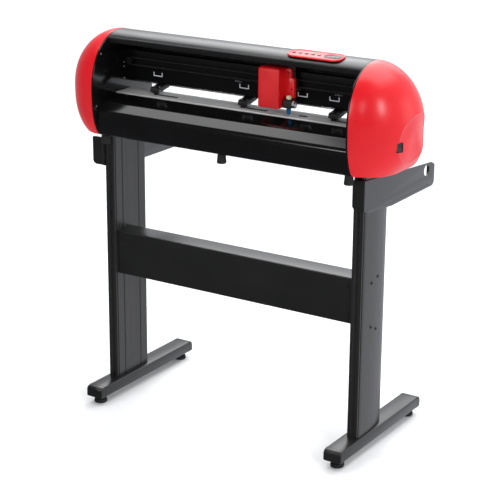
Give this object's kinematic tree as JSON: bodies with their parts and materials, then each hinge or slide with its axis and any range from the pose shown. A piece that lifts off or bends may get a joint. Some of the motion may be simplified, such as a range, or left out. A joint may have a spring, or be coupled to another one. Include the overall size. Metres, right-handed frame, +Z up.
{
  "type": "vinyl cutter",
  "caption": "Desktop-width roll cutter with a sliding blade carriage over driven media rollers, between domed end caps, on a two-legged floor stand.",
  "frame": {"origin": "on the floor under the middle of the footprint", "axes": "+Z up, +X to the operator's right, -Y towards the operator"},
  "size_m": [0.964, 0.455, 0.9836],
  "materials": {
    "red_plastic": "gloss",
    "black_paint": "gloss black",
    "black_satin_steel": "satin",
    "leg_extrusion": "black anodised satin",
    "dark_plastic": "matt",
    "rubber": "matt",
    "aluminium": "brushed",
    "steel": "bright",
    "brass": "bright",
    "blue_anodised": "anodised",
    "grey_plastic": "matt",
    "strip_plastic": "matt",
    "board_laminate": "satin",
    "display_window": "gloss"
  },
  "bodies": {
    "stand": {"end_cap_left": "red_plastic", "end_cap_right": "red_plastic", "control_bezel": "red_plastic", "top_cover": "black_paint", "front_panel": "black_paint", "rear_panel": "black_paint", "base_tray": "black_paint", "side_plate_left": "black_paint", "side_plate_right": "black_paint", "guide_beam": "black_paint", "foot_bar_left": "black_satin_steel", "foot_bar_right": "black_satin_steel", "bracket_left": "black_satin_steel", "bracket_right": "black_satin_steel", "cross_panel": "black_satin_steel", "leg_left": "leg_extrusion", "leg_right": "leg_extrusion", "power_inlet": "dark_plastic", "drive_motor": "dark_plastic", "carriage_motor": "dark_plastic", "foot_pad_front_left": "rubber", "foot_pad_front_right": "rubber", "foot_pad_rear_left": "rubber", "foot_pad_rear_right": "rubber", "rubber_foot_left": "rubber", "rubber_foot_middle": "rubber", "rubber_foot_right": "rubber", "carriage_belt": "rubber", "platen": "aluminium", "power_supply": "aluminium", "carriage_rail": "steel", "pinch_shaft": "steel", "cutting_strip": "strip_plastic", "circuit_board": "board_laminate", "display": "display_window"},
    "carriage": {"carriage_plate": "aluminium", "carriage_cover": "red_plastic"},
    "tool": {"tool_clamp": "dark_plastic", "blade_holder": "blue_anodised", "holder_cap": "brass"},
    "clamp_knob": {"clamp_screw": "steel"},
    "drive": {"drive_shaft": "steel", "drive_gear": "brass"},
    "pinion": {"motor_pinion": "brass"},
    "motor_pulley": {"belt_pulley": "steel"},
    "idler": {"idler_pulley": "steel"},
    "switch": {"power_switch": "dark_plastic"},
    "pinch_arm_1": {"pinch_arm_1": "dark_plastic"},
    "pinch_roller_1": {"pinch_roller_1": "rubber"},
    "pinch_arm_2": {"pinch_arm_2": "dark_plastic"},
    "pinch_roller_2": {"pinch_roller_2": "rubber"},
    "pinch_arm_3": {"pinch_arm_3": "dark_plastic"},
    "pinch_roller_3": {"pinch_roller_3": "rubber"},
    "button_1": {"button_1": "grey_plastic"},
    "button_2": {"button_2": "grey_plastic"},
    "button_3": {"button_3": "grey_plastic"},
    "button_4": {"button_4": "grey_plastic"},
    "button_5": {"button_5": "grey_plastic"}
  },
  "joints": [
    {"name": "carriage_slide", "type": "slide", "parent": "stand", "child": "carriage", "axis": [1, 0, 0], "range_m": [-0.42, 0.185]},
    {"name": "tool_lift", "type": "slide", "parent": "carriage", "child": "tool", "axis": [0, 0, 1], "range_m": [-0.0025, 0], "stiffness_N_per_m": 600, "springref_m": 0.004},
    {"name": "clamp_screw_turn", "type": "hinge", "parent": "tool", "child": "clamp_knob", "pos_m": [0.16, -0.1005, 0.8525], "axis": [1, 0, 0], "range_deg": [-360, 360]},
    {"name": "drive_spin", "type": "hinge", "parent": "stand", "child": "drive", "pos_m": [0, -0.0755, 0.8118], "axis": [1, 0, 0], "continuous": true},
    {"name": "pinion_spin", "type": "hinge", "parent": "stand", "child": "pinion", "pos_m": [-0.372, -0.0755, 0.8399], "axis": [1, 0, 0], "continuous": true},
    {"name": "motor_pulley_spin", "type": "hinge", "parent": "stand", "child": "motor_pulley", "pos_m": [0.34, -0.0725, 0.898], "axis": [0, 1, 0], "range_deg": [-3100, 1400]},
    {"name": "idler_spin", "type": "hinge", "parent": "stand", "child": "idler", "pos_m": [-0.34, -0.0725, 0.898], "axis": [0, 1, 0], "range_deg": [-3100, 1400]},
    {"name": "switch_rock", "type": "hinge", "parent": "stand", "child": "switch", "pos_m": [0.4605, -0.1335, 0.796], "axis": [0.4384, 0.8988, 0], "range_deg": [0, 14]},
    {"name": "pinch_lift_1", "type": "hinge", "parent": "stand", "child": "pinch_arm_1", "pos_m": [-0.258, -0.0335, 0.8395], "axis": [-1, 0, 0], "range_deg": [0, 7], "stiffness_Nm_per_rad": 0.15, "springref_deg": -28.65},
    {"name": "pinch_spin_1", "type": "hinge", "parent": "pinch_arm_1", "child": "pinch_roller_1", "pos_m": [-0.258, -0.0755, 0.8289], "axis": [1, 0, 0], "continuous": true},
    {"name": "pinch_lift_2", "type": "hinge", "parent": "stand", "child": "pinch_arm_2", "pos_m": [0.005, -0.0335, 0.8395], "axis": [-1, 0, 0], "range_deg": [0, 7], "stiffness_Nm_per_rad": 0.15, "springref_deg": -28.65},
    {"name": "pinch_spin_2", "type": "hinge", "parent": "pinch_arm_2", "child": "pinch_roller_2", "pos_m": [0.005, -0.0755, 0.8289], "axis": [1, 0, 0], "continuous": true},
    {"name": "pinch_lift_3", "type": "hinge", "parent": "stand", "child": "pinch_arm_3", "pos_m": [0.259, -0.0335, 0.8395], "axis": [-1, 0, 0], "range_deg": [0, 7], "stiffness_Nm_per_rad": 0.15, "springref_deg": -28.65},
    {"name": "pinch_spin_3", "type": "hinge", "parent": "pinch_arm_3", "child": "pinch_roller_3", "pos_m": [0.259, -0.0755, 0.8289], "axis": [1, 0, 0], "continuous": true},
    {"name": "button_press_1", "type": "slide", "parent": "stand", "child": "button_1", "axis": [0, -0.1564, 0.9877], "range_m": [-0.0012, 0], "stiffness_N_per_m": 250, "springref_m": 0.002},
    {"name": "button_press_2", "type": "slide", "parent": "stand", "child": "button_2", "axis": [0, -0.1564, 0.9877], "range_m": [-0.0012, 0], "stiffness_N_per_m": 250, "springref_m": 0.002},
    {"name": "button_press_3", "type": "slide", "parent": "stand", "child": "button_3", "axis": [0, -0.1564, 0.9877], "range_m": [-0.0012, 0], "stiffness_N_per_m": 250, "springref_m": 0.002},
    {"name": "button_press_4", "type": "slide", "parent": "stand", "child": "button_4", "axis": [0, -0.1564, 0.9877], "range_m": [-0.0012, 0], "stiffness_N_per_m": 250, "springref_m": 0.002},
    {"name": "button_press_5", "type": "slide", "parent": "stand", "child": "button_5", "axis": [0, -0.1564, 0.9877], "range_m": [-0.0012, 0], "stiffness_N_per_m": 250, "springref_m": 0.002}
  ],
  "couplings": [
    {"joint": "pinion_spin", "follows": "drive_spin", "ratio": -2.5},
    {"joint": "pinch_spin_1", "follows": "drive_spin", "ratio": -1.4706},
    {"joint": "pinch_spin_2", "follows": "drive_spin", "ratio": -1.4706},
    {"joint": "pinch_spin_3", "follows": "drive_spin", "ratio": -1.4706},
    {"joint": "motor_pulley_spin", "follows": "carriage_slide", "rad_per_m": 125},
    {"joint": "idler_spin", "follows": "carriage_slide", "rad_per_m": 125}
  ]
}
